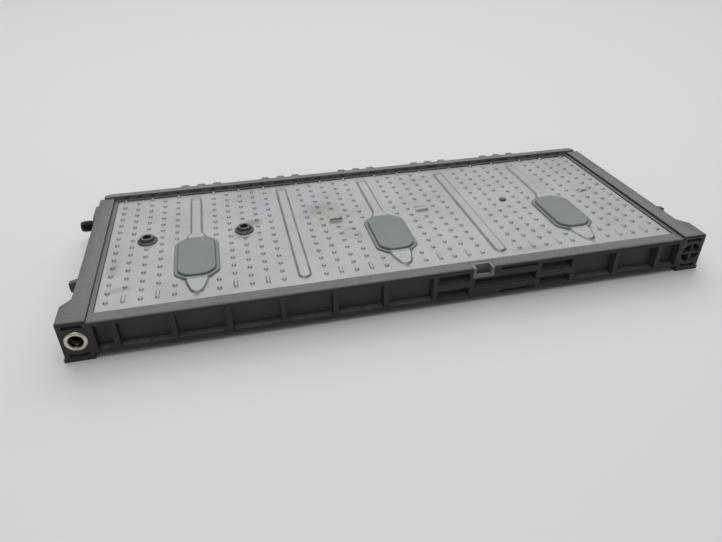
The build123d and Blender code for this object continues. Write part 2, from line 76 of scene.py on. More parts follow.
def addNode(tree, kind, settings=None, links=None):
    # one node, with its values by socket number or name, or by property name, and what feeds its
    # sockets; "stops" are a colour ramp's (position, hex) pairs
    node = tree.nodes.new(kind)
    for key, value in (settings or {}).items():
        if key == "stops":
            for element, (place, colour) in zip(node.color_ramp.elements, value):
                element.position = place
                element.color = toLinear(colour)
        elif isinstance(key, int) or key in node.inputs:
            node.inputs[key].default_value = value
        else:
            setattr(node, key, value)
    for key, source in (links or {}).items():
        tree.links.new(source, node.inputs[key])
    return node


def newMaterial(name):
    material = bpy.data.materials.new(name)
    material.use_nodes = True
    tree = material.node_tree
    return material, tree, tree.nodes["Principled BSDF"]


def newObject(name, mesh):
    piece = bpy.data.objects.new(name, mesh)
    bpy.context.scene.collection.objects.link(piece)
    return piece


def meshFrom(name, points, faces, sharpDegrees=None):
    # points (n, 3) in mm and faces as lists of their numbers; the object stays at the origin
    mesh = bpy.data.meshes.new(name)
    mesh.from_pydata((np.asarray(points) * mm).tolist(), [], [list(map(int, face)) for face in faces])
    mesh.validate()
    mesh.polygons.foreach_set("use_smooth", np.ones(len(mesh.polygons), dtype=bool))
    if sharpDegrees is not None:
        mesh.set_sharp_from_angle(angle=math.radians(sharpDegrees))
    mesh.update()
    return newObject(name, mesh)


def gridFaces(rows, columns, wrap=False):
    # quads between neighbouring rows and columns, closed round when wrap is set
    r = np.arange(rows - 1)[:, None] * columns
    c = np.arange(columns if wrap else columns - 1)[None, :]
    nextC = (c + 1) % columns
    quads = np.stack([r + c, r + nextC, r + columns + nextC, r + columns + c], -1)
    return quads.reshape(-1, 4)


def setPaintedShade(piece, values):
    # how much painted shade lies at each point, from 0 to 1, for the materials: darker in grooves, creases
    # and holes
    layer = piece.data.attributes.new("paintedShade", "FLOAT", "POINT")
    layer.data.foreach_set("value", np.asarray(values, dtype=np.float32))


def finishPiece(piece, material, replaced):
    # every piece rides on the one body and stands for the CAD node of the same part
    piece.data.materials.clear()
    piece.data.materials.append(material)
    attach(piece, "root")
    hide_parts(replaced)
    return piece


def boxMm(node):
    low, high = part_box(node)
    return np.array(low) / mm, np.array(high) / mm


# resins and rubber

resinLook = {  # what all the resins share, unless a resin's own entry says otherwise
    # the pale dust on faces that look up also stands for painted top light
    "cloudMm": 14, "speckMm": 2.2, "grainMm": 0.25, "roughness": 0.5, "dustAndTopLight": 0.35,
    # on the next line: the pale dust colour, then two colours of painted shade, for grooves and holes and
    # for the frontmost faces
    "dustAndTopLightColour": "#979994", "paintedShadeColour": "#23221f", "frontShadeColour": "#111211", "frontShade": 0,
    "ior": 1.52,
}
resins = {
    # the case: heavy pale dust that also stands for painted top light, and painted shade on its frontmost
    # faces
    "glassFilledResin": {"dark": "#2f302f", "pale": "#3a3b3a", "roughness": 0.45, "dustAndTopLight": 0.64,
                         "frontShade": 0.8},
    # the lid: the same resin in a lighter colour, a painted sheen on its top and front wall
    "glassFilledResinPaintedSheen": {"dark": "#656466", "pale": "#757375", "dustAndTopLight": 0.05},
    "paleGreyResin": {"dark": "#6a7072", "pale": "#757b7d", "grainMm": 0.2},
    "darkResin": {"dark": "#2c2c2b", "pale": "#383836", "roughness": 0.4},
    "greyNylon": {"dark": "#626462", "pale": "#747673", "roughness": 0.45},
    "blackResin": {"dark": "#1f2020", "pale": "#2a2b2b"},
    "nitrileRubber": {"dark": "#141414", "pale": "#1c1c1c", "roughness": 0.6},
    "separatorFleece": {"dark": "#8f9090", "pale": "#a3a4a4", "roughness": 0.8},
}


def resinMaterial(name):
    # Glass-filled PPE or polyamide, injection moulded in a spark-eroded tool: a fine even grain
    # that breaks up the sheen, cloudy where it has been handled, with pale dust and painted top light where
    # it looks up.
    look = {**resinLook, **resins[name]}
    material, tree, shader = newMaterial(name)
    place = addNode(tree, "ShaderNodeTexCoord").outputs["Object"]
    cloud = addNode(tree, "ShaderNodeTexNoise",
                    {"Scale": 1000 / look["cloudMm"], "Detail": 5.0, "Roughness": 0.6}, {"Vector": place})
    base = addNode(tree, "ShaderNodeValToRGB", {"stops": [(0.3, look["dark"]), (0.75, look["pale"])]},
                   {"Fac": cloud.outputs["Fac"]})
    # pale dust in small specks, thickest on faces that look straight up; it also paints the tops lighter
    # than the sides, as painted top light
    normal = addNode(tree, "ShaderNodeNewGeometry").outputs["Normal"]
    axes = addNode(tree, "ShaderNodeSeparateXYZ", None, {"Vector": normal})
    upward = addNode(tree, "ShaderNodeMapRange", {"From Min": 0.3, "From Max": 1.0, "To Max": look["dustAndTopLight"]},
                     {"Value": axes.outputs["Z"]})
    speck = addNode(tree, "ShaderNodeTexNoise",
                    {"Scale": 1000 / look["speckMm"], "Detail": 6.0, "Roughness": 0.7}, {"Vector": place})
    dustAndTopLightAmount = addNode(tree, "ShaderNodeMath", {"operation": "MULTIPLY"},
                    {0: upward.outputs["Result"], 1: speck.outputs["Fac"]})
    colour = addNode(tree, "ShaderNodeMix", {"data_type": "RGBA", 7: toLinear(look["dustAndTopLightColour"])},
                     {"Factor": dustAndTopLightAmount.outputs[0], 6: base.outputs["Color"]})
    # painted shade from the point attribute: darker in the pads' grooves and the spacers' holes
    paintedShade = addNode(tree, "ShaderNodeAttribute", {"attribute_name": "paintedShade"})
    colour = addNode(tree, "ShaderNodeMix", {"data_type": "RGBA", 7: toLinear(look["paintedShadeColour"])},
                     {"Factor": paintedShade.outputs["Fac"], 6: colour.outputs[2]})
    if look["frontShade"]:
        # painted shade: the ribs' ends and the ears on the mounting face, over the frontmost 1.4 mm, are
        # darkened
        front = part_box("case_frame")[0][1]
        spot = addNode(tree, "ShaderNodeSeparateXYZ", None, {"Vector": place})
        frontShadeAmount = addNode(tree, "ShaderNodeMapRange",
                         {"From Min": front + 0.2 * mm, "From Max": front + 1.4 * mm,
                          "To Min": look["frontShade"], "To Max": 0.0}, {"Value": spot.outputs["Y"]})
        colour = addNode(tree, "ShaderNodeMix", {"data_type": "RGBA", 7: toLinear(look["frontShadeColour"])},
                         {"Factor": frontShadeAmount.outputs["Result"], 6: colour.outputs[2]})
    tree.links.new(colour.outputs[2], shader.inputs["Base Color"])
    rough = addNode(tree, "ShaderNodeMapRange",
                    {"To Min": look["roughness"] - 0.07, "To Max": look["roughness"] + 0.1},
                    {"Value": speck.outputs["Fac"]})
    tree.links.new(rough.outputs["Result"], shader.inputs["Roughness"])
    grain = addNode(tree, "ShaderNodeTexNoise", {"Scale": 1000 / look["grainMm"], "Detail": 2.0},
                    {"Vector": place})
    bump = addNode(tree, "ShaderNodeBump", {"Strength": 0.25, "Distance": 0.05 * mm},
                   {"Height": grain.outputs["Fac"]})
    tree.links.new(bump.outputs["Normal"], shader.inputs["Normal"])
    shader.inputs["IOR"].default_value = look["ior"]
    return material


# turned and rolled metals

metals = {
    "nickelPlatedBrass": {"bright": "#e2ddc8", "tarnish": "#bdb59a", "roughness": 0.28},
    "nickelPlatedSteel": {"bright": "#d6d5cf", "tarnish": "#a9a79d", "roughness": 0.25},
    # the studs' steel, dark grey all over
    "darkGreySteel": {"bright": "#4d4b49", "tarnish": "#343230", "roughness": 0.4},
    "rolledNickel": {"bright": "#bfb9ac", "tarnish": "#a19b8c", "roughness": 0.4},
}
metalLook = {"cloudMm": 3.0, "toolMarkMm": 0.3, "paintedShadeColour": "#1d1a14"}


def metalMaterial(name):
    # Plated or turned metal: even colour, a little cloudy tarnish, fine tool marks.
    look = {**metalLook, **metals[name]}
    material, tree, shader = newMaterial(name)
    shader.inputs["Metallic"].default_value = 1.0
    place = addNode(tree, "ShaderNodeTexCoord").outputs["Object"]
    cloud = addNode(tree, "ShaderNodeTexNoise",
                    {"Scale": 1000 / look["cloudMm"], "Detail": 5.0, "Roughness": 0.65}, {"Vector": place})
    base = addNode(tree, "ShaderNodeValToRGB", {"stops": [(0.35, look["tarnish"]), (0.6, look["bright"])]},
                   {"Fac": cloud.outputs["Fac"]})
    # painted shade from the point attribute: darker down the insert's bore
    paintedShade = addNode(tree, "ShaderNodeAttribute", {"attribute_name": "paintedShade"})
    colour = addNode(tree, "ShaderNodeMix", {"data_type": "RGBA", 7: toLinear(look["paintedShadeColour"])},
                     {"Factor": paintedShade.outputs["Fac"], 6: base.outputs["Color"]})
    tree.links.new(colour.outputs[2], shader.inputs["Base Color"])
    rough = addNode(tree, "ShaderNodeMapRange",
                    {"To Min": look["roughness"] + 0.12, "To Max": look["roughness"] - 0.08},
                    {"Value": cloud.outputs["Fac"]})
    tree.links.new(rough.outputs["Result"], shader.inputs["Roughness"])
    fine = addNode(tree, "ShaderNodeTexNoise", {"Scale": 1000 / look["toolMarkMm"], "Detail": 2.0},
                   {"Vector": place})
    bump = addNode(tree, "ShaderNodeBump", {"Strength": 0.2, "Distance": 0.02 * mm},
                   {"Height": fine.outputs["Fac"]})
    tree.links.new(bump.outputs["Normal"], shader.inputs["Normal"])
    return material


# the side plates' metal

plateLook = {
    "bright": "#adacad",
    "dull": "#9d9c9d",
    "stain": "#7d7a62",
    "scuff": "#6f6e6c",
    # colour of the fine dirt specks and of the painted shade at the marks' feet
    "dirtAndPaintedShade": "#4b4943",
    "roughness": 0.46,
    "cloudMm": 30, "patchMm": 9, "gritMm": 1.1, "grainMm": 0.6,
    # x from the middle, y from the front edge, radii across and along, turn in degrees, strength
    "stains": [(-63, 60, 6, 4, 0, 0.75), (-68.5, 49, 7, 5, 30, 0.5), (-28, 66, 13, 9, 20, 0.5),
               (-126, 32, 3.5, 9, 0, 0.45), (-122, 14, 7, 3, 0, 0.4), (58, 4, 16, 2.5, 0, 0.35),
               (30, 88, 12, 6, 0, 0.25), (96, 70, 9, 12, 0, 0.22)],
    "rings": [(-17.5, 37, 3.6, 5.2, 25, 0.5), (-9, 12, 2.2, 4.0, 60, 0.35)],
    "lines": [(121, 31, 5.5, 0.16, 35, 0.75), (121, 30, 5.0, 0.14, -40, 0.7),
              (121.5, 33, 3.6, 0.12, 5, 0.6), (-14, 8.5, 6.0, 0.12, -38, 0.5),
              (103, 12, 4.5, 0.12, 60, 0.4), (-84, 71, 5, 0.1, 12, 0.35),
              (-58, 65, 2.6, 0.2, 70, 0.6), (66, 44, 7, 0.08, 20, 0.3)],
}


def markAmount(tree, place, frontMm, mark, kind):
    # strength of one blemish, from the length of the point scaled by the blemish's radii:
    # a stain fades out past 1 with a wobbling edge, a ring is a thin band at 1, a line a thin ellipse
    x, y, rx, ry, turn, strength = mark
    fade = {"To Min": strength, "To Max": 0.0}
    shift = addNode(tree, "ShaderNodeMapping",
                    {"vector_type": "TEXTURE", "Location": (x * mm, (frontMm + y) * mm, 0),
                     "Rotation": (0, 0, math.radians(turn)), "Scale": (rx * mm, ry * mm, 1)},
                    {"Vector": place})
    flat = addNode(tree, "ShaderNodeVectorMath", {"operation": "MULTIPLY", 1: (1, 1, 0)},
                   {0: shift.outputs["Vector"]})
    reach = addNode(tree, "ShaderNodeVectorMath", {"operation": "LENGTH"}, {0: flat.outputs["Vector"]})
    value = reach.outputs["Value"]
    if kind == "line":
        return addNode(tree, "ShaderNodeMapRange", {"From Min": 0.5, "From Max": 1.0, **fade},
                       {"Value": value}).outputs["Result"]
    wobble = addNode(tree, "ShaderNodeTexNoise", {"Scale": 1.7, "Detail": 5.0, "Roughness": 0.65},
                     {"Vector": shift.outputs["Vector"]})
    rough = addNode(tree, "ShaderNodeMath", {"operation": "ADD"}, {0: value, 1: wobble.outputs["Fac"]})
    if kind == "stain":
        return addNode(tree, "ShaderNodeMapRange", {"From Min": 0.75, "From Max": 1.55, **fade},
                       {"Value": rough.outputs[0]}).outputs["Result"]
    away = addNode(tree, "ShaderNodeMath", {"operation": "SUBTRACT", 1: 1.5}, {0: rough.outputs[0]})
    band = addNode(tree, "ShaderNodeMath", {"operation": "ABSOLUTE"}, {0: away.outputs[0]})
    return addNode(tree, "ShaderNodeMapRange", {"From Min": 0.03, "From Max": 0.13, **fade},
                   {"Value": band.outputs[0]}).outputs["Result"]


def plateMaterial(name, frontMm):
    # Stamped aluminium sheet, mill finish gone dull: soft broad highlights, cloudy oxide,
    # a few water stains and scratches, painted shade at the feet of the dimples and along the ridges, fine
    # dirt specks.
    look = plateLook
    material, tree, shader = newMaterial(name)
    shader.inputs["Metallic"].default_value = 0.85
    place = addNode(tree, "ShaderNodeTexCoord").outputs["Object"]
    cloud = addNode(tree, "ShaderNodeTexNoise",
                    {"Scale": 1000 / look["cloudMm"], "Detail": 6.0, "Roughness": 0.6}, {"Vector": place})
    base = addNode(tree, "ShaderNodeValToRGB", {"stops": [(0.35, look["dull"]), (0.65, look["bright"])]},
                   {"Fac": cloud.outputs["Fac"]})
    colour = base.outputs["Color"]
    for kind, over in (("stain", look["stain"]), ("ring", look["scuff"]), ("line", look["scuff"])):
        for mark in look[kind + "s"]:
            amount = markAmount(tree, place, frontMm, mark, kind)
            colour = addNode(tree, "ShaderNodeMix", {"data_type": "RGBA", 7: toLinear(over)},
                             {"Factor": amount, 6: colour}).outputs[2]
    # painted shade at the feet of the marks, in patches, and fine specks of dirt
    paintedShade = addNode(tree, "ShaderNodeAttribute", {"attribute_name": "paintedShade"})
    patches = addNode(tree, "ShaderNodeTexNoise", {"Scale": 1000 / look["patchMm"], "Detail": 5.0},
                      {"Vector": place})
    patchy = addNode(tree, "ShaderNodeMapRange", {"From Min": 0.42, "From Max": 0.7, "To Min": 0.6},
                     {"Value": patches.outputs["Fac"]})
    patchyShade = addNode(tree, "ShaderNodeMath", {"operation": "MULTIPLY"},
                    {0: paintedShade.outputs["Fac"], 1: patchy.outputs["Result"]})
    grit = addNode(tree, "ShaderNodeTexNoise",
                   {"Scale": 1000 / look["gritMm"], "Detail": 4.0, "Roughness": 0.7}, {"Vector": place})
    speck = addNode(tree, "ShaderNodeMapRange", {"From Min": 0.66, "From Max": 0.74, "To Max": 0.5},
                    {"Value": grit.outputs["Fac"]})
    for amount in (patchyShade.outputs[0], speck.outputs["Result"]):
        colour = addNode(tree, "ShaderNodeMix", {"data_type": "RGBA", 7: toLinear(look["dirtAndPaintedShade"])},
                         {"Factor": amount, 6: colour}).outputs[2]
    tree.links.new(colour, shader.inputs["Base Color"])
    rough = addNode(tree, "ShaderNodeMapRange",
                    {"To Min": look["roughness"] - 0.08, "To Max": look["roughness"] + 0.12},
                    {"Value": cloud.outputs["Fac"]})
    tree.links.new(rough.outputs["Result"], shader.inputs["Roughness"])
    fine = addNode(tree, "ShaderNodeTexNoise", {"Scale": 1000 / look["grainMm"], "Detail": 3.0},
                   {"Vector": place})
    bump = addNode(tree, "ShaderNodeBump", {"Strength": 0.25, "Distance": 0.03 * mm},
                   {"Height": fine.outputs["Fac"]})
    tree.links.new(bump.outputs["Normal"], shader.inputs["Normal"])
    return material


# side plates

plateShape = {  # mm, y from the front edge
    "thickness": 0.8, "edgeRoll": 0.2, "rollReach": 0.8, "rollLimit": 0.98,
    "cells": 6, "cellPitch": 45.2, "columnPitch": 6.75, "sideColumns": 2,
    "rows": 15, "rowStart": 5.8, "rowMargin": 1.5,
    "dimpleRadius": 1.08, "dimpleHeight": 0.8, "dimpleClear": 0.22,
    "longFront": 5.3, "longBack": 9.2, "longWidth": 1.0,
    "ridgeWidth": 5.6, "ridgeSlope": 0.7, "ridgeHeight": 0.75, "ridgeStart": 4.5, "ridgeEnd": 97.0,
    "ridgeFade": 7.0, "neckFlare": 9.0, "flareLength": 5.0,
    "padWalls": (-2, 0, 2), "padStart": 15.0, "padEnd": 51.0, "padHalf": 10.0, "padClear": 2.6,
    "padFrontClear": 1,
    "tongueStart": 4.3, "tongueTip": 5.6, "tongueRoot": 10.0, "tongueSlope": 0.9, "tongueHeight": 0.85,
    "tongueTuck": 2,
    "markRow": 53.5, "markClear": 5.7,
    "eyeletPlace": 2.5, "eyeletRadius": 1.15, "eyeletWall": 0.7, "eyeletHeight": 0.7,
    "rampPlaces": (-0.5, 0.5), "rampHeights": (2.1, 1.1), "rampStart": 52.0, "rampLength": 4.6,
    "rampWidth": 6.5, "rampLip": 0.35, "rampSide": 0.3,
    "wave": 0.07, "waveAcross": 17, "waveAlong": 13, "waveSkew": 61, "wavePhase": 1.3,
    # where the painted shade lies: middle and spread of each soft band, and how strong it is on a ridge's
    # brow
    "paintedShadeFoot": (1.0, 0.12), "paintedShadeCrease": 0.25, "paintedShadeBrow": (0.7, 0.2),
    # grid lines along a cell wall, by their distance from it, behind the sheet's edge and the tongue's
    # front, in front of the ramps, and the least gap between any two
    "wallLines": (0.6, 1.3, 1.7, 2.1, 2.45, 2.8, 3.1, 3.4, 3.85, 4.3, 4.75, 5.2),
    "edgeLines": (0.15, 0.4, 0.8), "tongueLines": (0, 0.4, 0.8), "rampLine": 0.1, "leastGap": 0.12,
}
plateLow, plateHigh = boxMm("plate_top")
plateDepth = round(plateHigh[1] - plateLow[1], 3)
rowPitch = (plateDepth - plateShape["rowStart"] - plateShape["rowMargin"]) / (plateShape["rows"] - 1)
lastWall = plateShape["cells"] // 2 - 1  # walls are numbered from 0 at the middle of the plate


def smoothStep(t):
    # 3t^2 - 2t^3 with t held between 0 and 1
    t = np.clip(t, 0, 1)
    return t * t * (3 - 2 * t)


def domed(distance, radius):
    # a pressed dimple's profile, (1 - (d/r)^4)^1.5: a nearly flat crown, steep sides and a short foot
    return (1 - np.clip(distance / radius, 0, 1) ** 4) ** 1.5


def softBand(distance, spread):
    # exp(-(d/spread)^2): 1 on the line itself, fading to both sides
    return np.exp(-(distance / spread) ** 2)


def dimples(x, y):
    # Height of the dimples and the painted shade, a dark ring, at their feet. Each is height *
    # domed(distance to its middle), in columns of which every other one stands half a row further on. None
    # stands under a pad or by the marks in the middle row, and the columns that stand further on have a
    # long one at the front.
    s = plateShape
    middleCell = (s["cells"] - 1) / 2
    cell = np.clip(np.round(x / s["cellPitch"] + middleCell), 0, s["cells"] - 1)
    fromCell = x - (cell - middleCell) * s["cellPitch"]
    column = np.clip(np.round(fromCell / s["columnPitch"]), -s["sideColumns"], s["sideColumns"])
    odd = np.abs(column) % 2
    row = np.round((y - s["rowStart"]) / rowPitch - odd / 2)
    across = fromCell - column * s["columnPitch"]
    along = y - s["rowStart"] - (row + odd / 2) * rowPitch
    middleX = x - across
    middleY = y - along
    wall = np.round(middleX / s["cellPitch"])
    byPad = np.isin(wall, s["padWalls"])
    byPad &= np.abs(middleX - wall * s["cellPitch"]) < s["padHalf"] + s["padClear"]
    byPad &= (middleY > s["padStart"] - s["padFrontClear"]) & (middleY < s["padEnd"])
    byMark = (column == 0) & (np.abs(middleY - s["markRow"]) < s["markClear"])
    stands = (row >= odd) & (row <= s["rows"] - 1 - odd) & ~byPad & ~byMark
    distance = np.hypot(across, along)
    height = np.where(stands, domed(distance, s["dimpleRadius"]) * s["dimpleHeight"], 0)
    footAt, footSpread = s["paintedShadeFoot"]
    paintedShade = np.where(stands, softBand(distance - footAt, footSpread), 0)
    pastEnd = y - np.clip(y, s["longFront"], s["longBack"])
    long = domed(np.hypot(across, pastEnd), s["longWidth"]) * s["dimpleHeight"]
    return height + np.where(odd == 1, long, 0), paintedShade


def ridges(x, y):
    # Height and painted shade of the ridges on the cell walls, with the tongues in front of the pads; the
    # painted shade is a dark line along each outline and, off the tongues, along the brow. Each is
    # height * smoothStep(depth inside its outline / width of its slope), with a round front end, and
    # fades out at the back. A ridge behind a pad flares towards it.
    s = plateShape
    wall = np.clip(np.round(x / s["cellPitch"]), -lastWall, lastWall)
    fromWall = np.abs(x - wall * s["cellPitch"])
    plain = ~np.isin(wall, s["padWalls"])
    onTongue = ~plain & (y < s["padStart"])
    flare = smoothStep((s["padEnd"] + s["flareLength"] - y) / s["flareLength"])
    neckHalf = s["ridgeWidth"] / 2 + flare * (s["neckFlare"] - s["ridgeWidth"]) / 2
    share = (y - s["tongueStart"]) / (s["padStart"] - s["tongueStart"])
    tongueHalf = (s["tongueTip"] + (s["tongueRoot"] - s["tongueTip"]) * smoothStep(share)) / 2
    half = np.where(plain, s["ridgeWidth"] / 2, neckHalf)
    half = np.where(~plain & (y < s["padStart"] + s["tongueTuck"]), tongueHalf, half)
    start = np.where(plain, s["ridgeStart"], s["tongueStart"])
    pastEnd = np.minimum(y - start - half, 0)
    inside = half - np.hypot(fromWall, pastEnd)
    slope = np.where(onTongue, s["tongueSlope"], s["ridgeSlope"])
    fade = smoothStep((s["ridgeEnd"] - y) / s["ridgeFade"])
    height = smoothStep(inside / slope) * np.where(onTongue, s["tongueHeight"], s["ridgeHeight"]) * fade
    browStrength, browSpread = s["paintedShadeBrow"]
    brow = np.where(onTongue, 0, browStrength * softBand(inside - s["ridgeSlope"], browSpread))
    return height, (softBand(inside, s["paintedShadeCrease"]) + brow) * fade


def middleMarks(x, y):
    # Height of the two ramps, which rise steeply at the front, stay level for half their length and
    # fall away, and of the eyelet, a ring cos^2(pi/2 * (distance - radius) / wall).
    s = plateShape
    rise = (y - s["rampStart"]) / s["rampLength"]
    lip = smoothStep((y - s["rampStart"] + s["rampLip"]) / s["rampLip"])
    along = np.clip(np.where(rise < 0.5, 1, 2 * (1 - rise)) * lip, 0, 1)
    height = np.zeros_like(x)
    for place, tall in zip(s["rampPlaces"], s["rampHeights"]):
        sideways = np.abs(x - place * s["cellPitch"])
        inside = (s["rampWidth"] / 2 + s["rampSide"] / 2 - sideways) / s["rampSide"]
        height = height + tall * along * smoothStep(inside)
    distance = np.hypot(x - s["eyeletPlace"] * s["cellPitch"], y - s["markRow"])
    ring = np.clip((distance - s["eyeletRadius"]) / s["eyeletWall"], -1, 1)
    return height + np.cos(np.pi / 2 * ring) ** 2 * s["eyeletHeight"]


def plateHeight(x, y):
    # height of the stamped sheet above its flat and the painted shade on it, at x from the middle and y
    # from
    # the front edge: the marks together, on a sheet that waves by sin(x/a + p) * sin(y/b + x/c)
    s = plateShape
    dimpleRise, dimpleShade = dimples(x, y)
    ridgeRise, ridgeShade = ridges(x, y)
    wave = np.sin(x / s["waveAcross"] + s["wavePhase"]) * np.sin(y / s["waveAlong"] + x / s["waveSkew"])
    height = dimpleRise + ridgeRise + middleMarks(x, y) + s["wave"] * wave
    return height, np.clip(dimpleShade + ridgeShade, 0, 1)


def rolledHeight(x, y, halfLength, depth):
    # the stamped height less the quarter round at the sheet's edge, roll * (1 - sqrt(1 - t^2)), where
    # t goes from 0 to nearly 1 over the last stretch before the edge
    s = plateShape
    height, paintedShade = plateHeight(x, y)
    toEdge = np.minimum.reduce([x + halfLength, halfLength - x, y, depth - y])
    t = np.clip(1 - toEdge / s["rollReach"], 0, s["rollLimit"])
    return height - s["edgeRoll"] * (1 - np.sqrt(1 - t ** 2)), paintedShade


def spacedLines(lines, low, high):
    # the grid lines in order, with those that crowd the one before them left out
    lines = np.concatenate([lines, [low, high]])
    lines = np.unique(np.round(lines[(lines >= low) & (lines <= high)], 3))
    lines = lines[np.concatenate([[True], np.diff(lines) > plateShape["leastGap"]])]
    lines[-1] = high
    return lines


def around(centres, offsets):
    # every centre with every offset added
    return (np.asarray(centres)[:, None] + np.asarray(offsets)).ravel()


def plateGrid(halfLength, depth):
    # the grid lines of the sheet, packed where its marks rise
    s = plateShape
    wallX = np.arange(-lastWall, lastWall + 1) * s["cellPitch"]
    cellX = (np.arange(s["cells"]) - (s["cells"] - 1) / 2) * s["cellPitch"]
    columnX = around(cellX, np.arange(-s["sideColumns"], s["sideColumns"] + 1) * s["columnPitch"])
    dimpleLines = s["dimpleRadius"] * np.arange(-3, 4) / 3
    clear = s["dimpleRadius"] + s["dimpleClear"]
    wallHalf = np.array(s["wallLines"])
    rampHalf = (s["rampWidth"] + s["rampSide"] * np.array([-1, 1])) / 2
    edge = np.array(s["edgeLines"])
    xs = spacedLines(np.concatenate([
        around(columnX, [-clear, *dimpleLines, clear]),
        around(wallX, [*-wallHalf, 0, *wallHalf]),
        around(np.array(s["rampPlaces"]) * s["cellPitch"], [*-rampHalf, *rampHalf]),
        edge - halfLength, halfLength - edge]), -halfLength, halfLength)
    rowY = s["rowStart"] + np.arange(2 * s["rows"] - 1) * rowPitch / 2
    ringHalf = s["eyeletRadius"] + s["eyeletWall"] * np.linspace(-1, 1, 5)
    ys = spacedLines(np.concatenate([
        around(rowY, dimpleLines),
        s["tongueStart"] + np.array(s["tongueLines"]), [s["padStart"], s["padEnd"]],
        s["rampStart"] + np.array([-s["rampLip"], -s["rampLine"], 0, s["rampLength"] / 2, s["rampLength"]]),
        s["markRow"] + np.array([*-ringHalf, 0, *ringHalf]),
        edge, depth - edge]), 0, depth)
    return np.meshgrid(xs, ys)


def plateShell(top, rows, columns, underZ):
    # the points of the stamped face, with its rim once more on the flat underside, and the faces
    # that close the sheet: the grid, the edge, strips across the underside and its two ends
    rim = np.concatenate([np.arange(columns), np.arange(1, rows) * columns + columns - 1,
                          (rows - 1) * columns + np.arange(columns - 2, -1, -1),
                          np.arange(rows - 2, 0, -1) * columns])
    under = top[rim].copy()
    under[:, 2] = underZ
    base = len(top)
    count = len(rim)
    i = np.arange(count)
    after = (i + 1) % count
    sides = np.stack([rim, base + i, base + after, rim[after]], -1)
    front = base + np.arange(columns)
    back = base + columns + rows - 2 + np.arange(columns)[::-1]
    strips = np.stack([front[1:-2], back[1:-2], back[2:-1], front[2:-1]], -1)
    leftSide = base + np.arange(count - 1, 2 * columns + rows - 4, -1)
    rightSide = base + np.arange(columns + rows - 3, columns - 1, -1)
    ends = [[front[0], *leftSide, back[0], back[1], front[1]],
            [front[-2], back[-2], back[-1], *rightSide, front[-1]]]
    faces = gridFaces(rows, columns).tolist() + sides.tolist() + strips.tolist() + ends
    return np.concatenate([top, under]), faces


def exactNormals(piece, normals):
    # each corner on the stamped side takes the surface's own normal, from its slopes;
    # the corners of the edge and the underside keep their face's
    mesh = piece.data
    corners = np.empty(len(mesh.loops), dtype=np.int64)
    mesh.loops.foreach_get("vertex_index", corners)
    faceNormals = np.empty(len(mesh.polygons) * 3)
    mesh.polygons.foreach_get("normal", faceNormals)
    totals = np.empty(len(mesh.polygons), dtype=np.int64)
    mesh.polygons.foreach_get("loop_total", totals)
    ofFace = np.repeat(faceNormals.reshape(-1, 3), totals, axis=0)
    nearlyUpright = 0.05  # z of the normal of a face on the sheet's edge
    stamped = (corners < len(normals)) & (np.sign(ofFace[:, 2]) == np.sign(normals[0, 2]))
    stamped &= np.abs(ofFace[:, 2]) > nearlyUpright
    chosen = np.where(stamped[:, None], normals[np.minimum(corners, len(normals) - 1)], ofFace)
    mesh.normals_split_custom_set(chosen.tolist())


def makePlate(name, node, material):
    # the sheet z = flat + rolledHeight(x, y) on the grid, closed by its edge and a flat underside;
    # the lower plate is the upper one turned over about y
    flat = plateLow[2] + plateShape["thickness"]
    depth = plateHigh[1] - plateLow[1]
    halfLength = (plateHigh[0] - plateLow[0]) / 2
    gx, gy = plateGrid(halfLength, depth)

    def surface(x, y):
        return rolledHeight(x, y, halfLength, depth)

    height, paintedShade = surface(gx, gy)
    nudge = 0.01
    slopeX = (surface(gx + nudge, gy)[0] - surface(gx - nudge, gy)[0]) / (2 * nudge)
    slopeY = (surface(gx, gy + nudge)[0] - surface(gx, gy - nudge)[0]) / (2 * nudge)
    normals = np.stack([-slopeX, -slopeY, np.ones_like(gx)], -1).reshape(-1, 3)
    normals /= np.linalg.norm(normals, axis=1)[:, None]
    middleX = (plateLow[0] + plateHigh[0]) / 2
    top = np.stack([gx + middleX, gy + plateLow[1], flat + height], -1).reshape(-1, 3)
    points, faces = plateShell(top, *gx.shape, plateLow[2])
    if node == "plate_bottom":
        turnAbout = plateHigh[2] + boxMm(node)[0][2]
        points = points * np.array([-1, 1, -1]) + np.array([0, 0, turnAbout])
        normals = normals * np.array([-1, 1, -1])
    piece = meshFrom(name, points, faces)
    exactNormals(piece, normals)
    # painted shade at the dimples' feet and along the ridges, on the stamped face only
    setPaintedShade(piece, np.concatenate([paintedShade.ravel(), np.zeros(len(points) - len(top))]))
    return finishPiece(piece, material, node)


# pads

padShape = {
    "corner": 5.0, "roundness": 26, "steps": 144, "leastReach": 0.4,
    # painted shade: a dark band at the foot of the raised middle, in its groove; how dark, its inset and
    # its spread
    "paintedShade": 0.75, "paintedShadeInset": 1.62, "paintedShadeSpread": 0.12,
    # inset and height: a foot, a groove round the raised middle, and the middle's rounded rim
    "profile": [(0.0, 0.0), (0.0, 0.4), (0.1, 0.58), (0.32, 0.68), (1.0, 0.7), (1.45, 0.62), (1.6, 0.62),
                (1.72, 0.8), (1.78, 1.25), (1.88, 1.48), (2.15, 1.59), (2.9, 1.6), (6.0, 1.6), (9.4, 1.6)],
}


